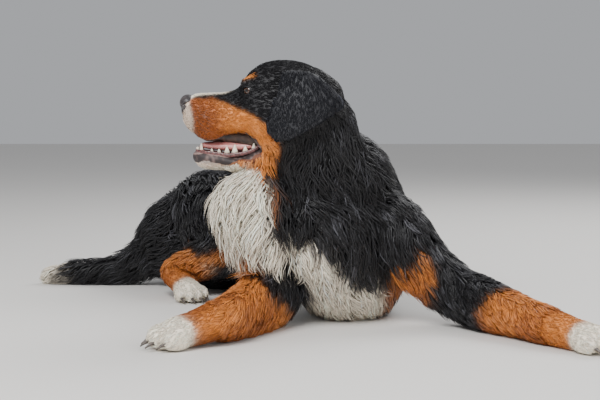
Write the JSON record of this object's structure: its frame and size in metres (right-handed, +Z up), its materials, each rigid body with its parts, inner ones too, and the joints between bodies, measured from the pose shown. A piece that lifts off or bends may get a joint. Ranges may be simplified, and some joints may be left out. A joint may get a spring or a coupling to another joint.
{
  "type": "bernese mountain dog",
  "caption": "Life-size model of a large long-coated tricolour dog lying on its brisket, head raised and turned, mouth open, one foreleg reaching out.",
  "frame": {"origin": "point on the floor under the brisket, on the flat where the chest rests", "axes": "+Z up from the floor; -X the way the head looks, the side the hips and tail lie on; the chest faces -Y"},
  "size_m": [1.1846, 1.1913, 0.515],
  "materials": {
    "coat_black": "satin",
    "coat_rust": "satin",
    "coat_white": "satin",
    "nose_leather": "satin",
    "eye": "gloss",
    "tongue": "satin"
  },
  "bodies": {
    "root": {"head": "coat_black", "nose": "nose_leather", "tongue": "tongue", "lower_jaw": "coat_black", "eye_left": "eye", "eye_right": "eye", "ear_left": "coat_black", "ear_right": "coat_black", "chest": "coat_black", "belly": "coat_black", "hips": "coat_black", "neck": "coat_black", "upper_arm_left": "coat_black", "upper_arm_right": "coat_black", "forearm_left": "coat_rust", "forearm_right": "coat_rust", "forepaw_left": "coat_white", "forepaw_right": "coat_white", "thigh_right": "coat_black", "thigh_left": "coat_black", "shank_right": "coat_rust", "shank_left": "coat_rust", "hind_foot_right": "coat_white", "hind_foot_left": "coat_white", "tail": "coat_black"}
  },
  "joints": []
}
